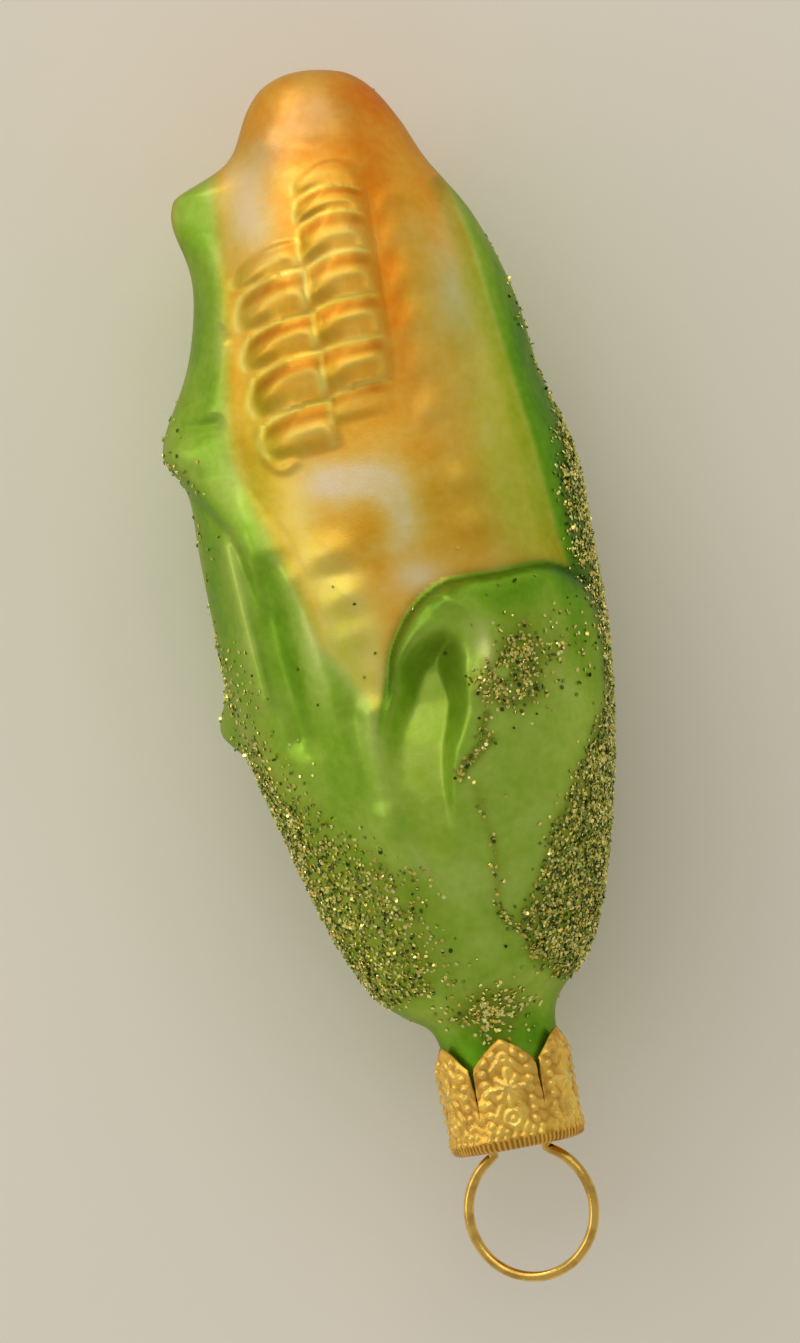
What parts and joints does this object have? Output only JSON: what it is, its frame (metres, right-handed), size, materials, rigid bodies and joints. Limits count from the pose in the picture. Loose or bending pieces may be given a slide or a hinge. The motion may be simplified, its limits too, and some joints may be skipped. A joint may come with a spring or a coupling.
{
  "type": "corn cob glass ornament",
  "caption": "Hollow blown glass ornament shaped as a corn cob in its husk, with a stamped gold cap and a wire ring to hang it by.",
  "frame": {"origin": "under the middle of the ornament, on the surface that it lies on", "axes": "+Y from the hanging ring and cap to the cob's tip, +X the ornament's right side, +Z its front, which faces up as it lies"},
  "size_m": [0.0384, 0.1172, 0.0384],
  "materials": {
    "lacquered_glass": "silvered inside, satin lacquer outside: orange and yellow kernels, green husk, gold-green glitter",
    "cap_gold": "stamped, bright gold",
    "wire_brass": "polished"
  },
  "bodies": {
    "root": {"glass_body": "lacquered_glass", "cap": "cap_gold", "hanger": "wire_brass"}
  },
  "joints": []
}
